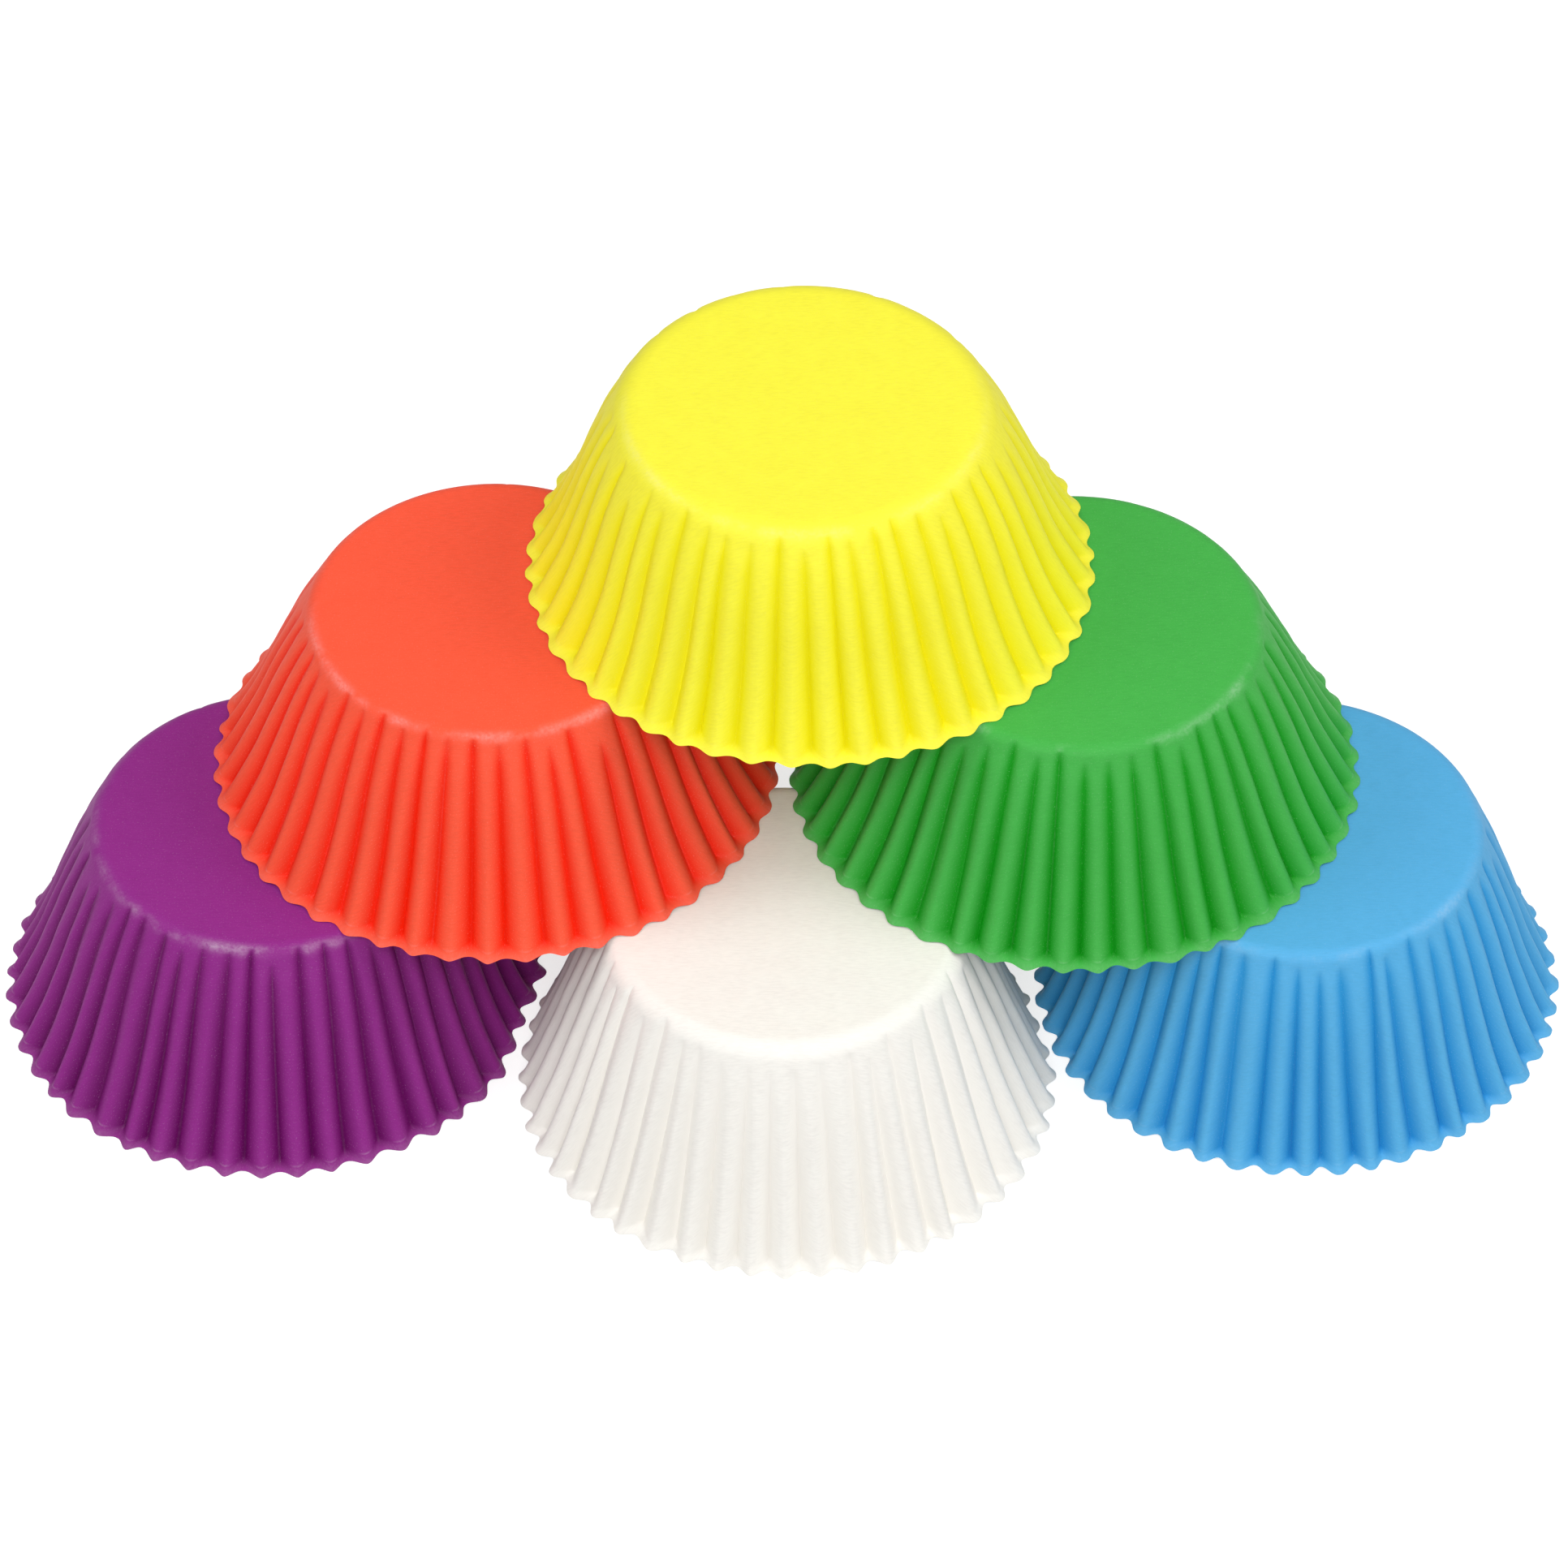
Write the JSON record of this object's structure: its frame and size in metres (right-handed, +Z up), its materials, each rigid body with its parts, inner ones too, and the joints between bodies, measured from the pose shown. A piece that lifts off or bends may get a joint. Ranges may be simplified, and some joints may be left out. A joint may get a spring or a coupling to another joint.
{
  "type": "stack of cupcake liners",
  "caption": "Pyramid of upturned pleated paper baking cups, each one sheet with a flat disc bottom and a flared fluted wall, standing on their cut edges.",
  "frame": {"origin": "on the table, below the middle of the stack's box", "axes": "+X to the right along the bottom row, the longest side; +Y to the back, away from the liner that is set forward; +Z up"},
  "size_m": [0.2198, 0.118, 0.089],
  "materials": {
    "purple_paper": "matte greaseproof paper, dyed through",
    "white_paper": "matte greaseproof paper, dyed through",
    "blue_paper": "matte greaseproof paper, dyed through",
    "red_paper": "matte greaseproof paper, dyed through",
    "green_paper": "matte greaseproof paper, dyed through",
    "yellow_paper": "matte greaseproof paper, dyed through"
  },
  "bodies": {
    "root": {"liner_purple": "purple_paper", "liner_white": "white_paper", "liner_blue": "blue_paper", "liner_red": "red_paper", "liner_green": "green_paper", "liner_yellow": "yellow_paper"}
  },
  "joints": []
}
